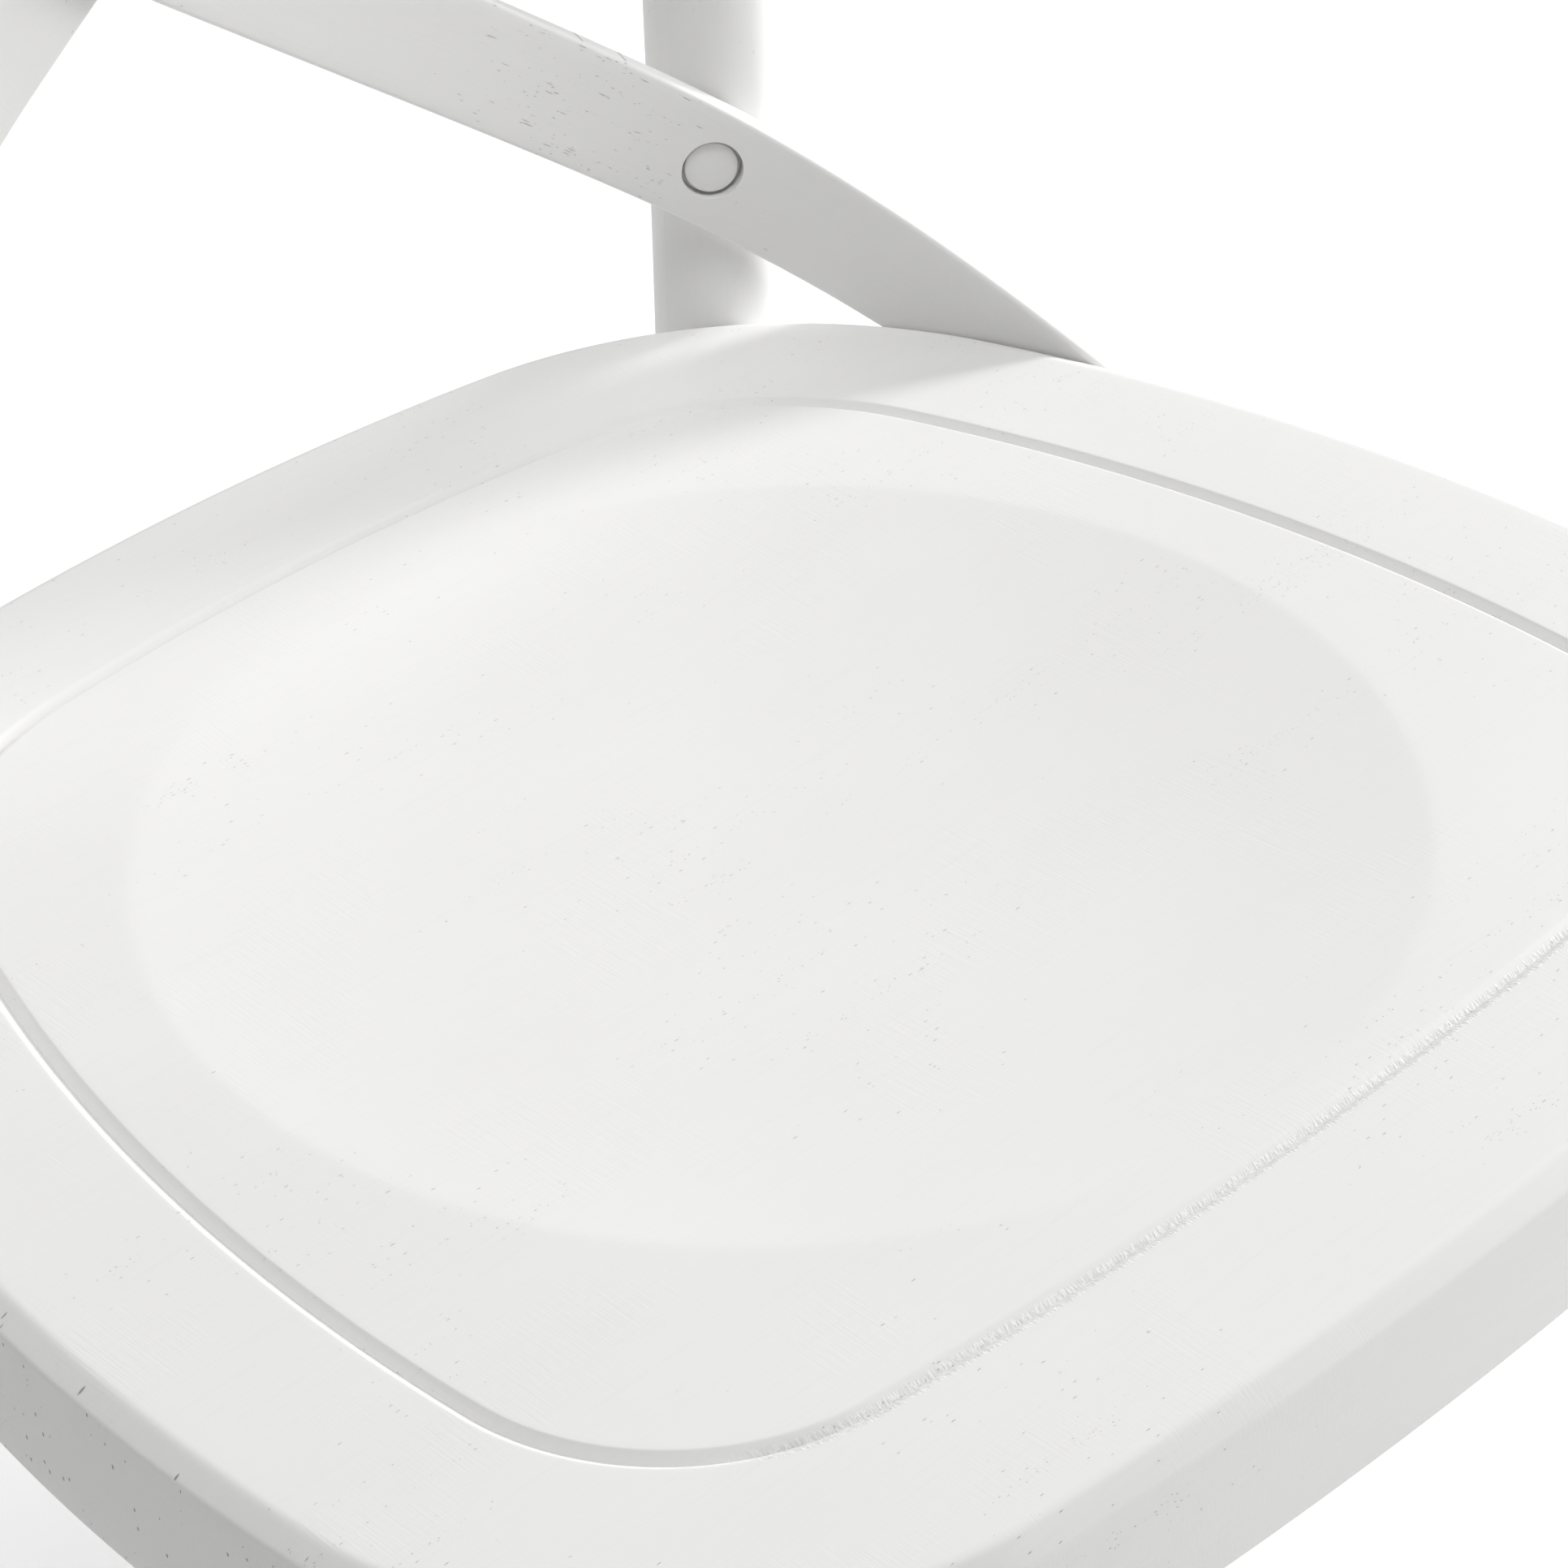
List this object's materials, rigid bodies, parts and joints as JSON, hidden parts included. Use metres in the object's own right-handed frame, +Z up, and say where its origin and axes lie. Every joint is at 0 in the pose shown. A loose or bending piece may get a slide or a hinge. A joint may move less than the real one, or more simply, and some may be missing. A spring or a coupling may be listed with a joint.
{
  "type": "cross-back dining chair",
  "caption": "White painted wooden cross-back dining chair: bent hoop back with two crossing straps, dished seat with a routed groove, round legs and bent brace arches.",
  "frame": {"origin": "on the floor, under the middle of the chair's box", "axes": "the chair faces -Y, its back is towards +Y, +Z up, +X on the right of someone looking at its front"},
  "size_m": [0.4458, 0.4582, 0.8891],
  "materials": {
    "painted_seat": "semi-matte white paint over open-grained ash, fine sanding marks, paint chipped along the groove",
    "painted_rod": "semi-matte white paint over bent ash",
    "painted_strap": "semi-matte white paint with open pores along the grain",
    "painted_leg": "semi-matte white paint over turned ash",
    "painted_arch": "semi-matte white paint over bent ash strip",
    "painted_plug": "semi-matte white paint, slightly domed end grain",
    "screw_steel": "zinc-plated screw steel",
    "glide_nylon": "moulded nylon, scuffed"
  },
  "bodies": {
    "root": {"seat_panel": "painted_seat", "back_hoop": "painted_rod", "cross_strap_front": "painted_strap", "cross_strap_rear": "painted_strap", "front_leg_left": "painted_leg", "front_leg_right": "painted_leg", "arch_front": "painted_arch", "arch_rear": "painted_arch", "arch_left": "painted_arch", "arch_right": "painted_arch", "seat_bolts": "screw_steel", "seat_bolt_nuts": "screw_steel", "seat_bolt_plugs": "painted_plug", "strap_post_screws": "screw_steel", "strap_post_plugs": "painted_plug", "strap_seat_screws": "screw_steel", "strap_seat_plugs": "painted_plug", "strap_top_screws": "screw_steel", "strap_top_plugs": "painted_plug", "crossing_screw": "screw_steel", "crossing_plug": "painted_plug", "arch_leg_screws": "screw_steel", "arch_leg_plugs": "painted_plug", "arch_seat_screws": "screw_steel", "foot_glides": "glide_nylon", "glide_nails": "screw_steel"}
  },
  "joints": []
}
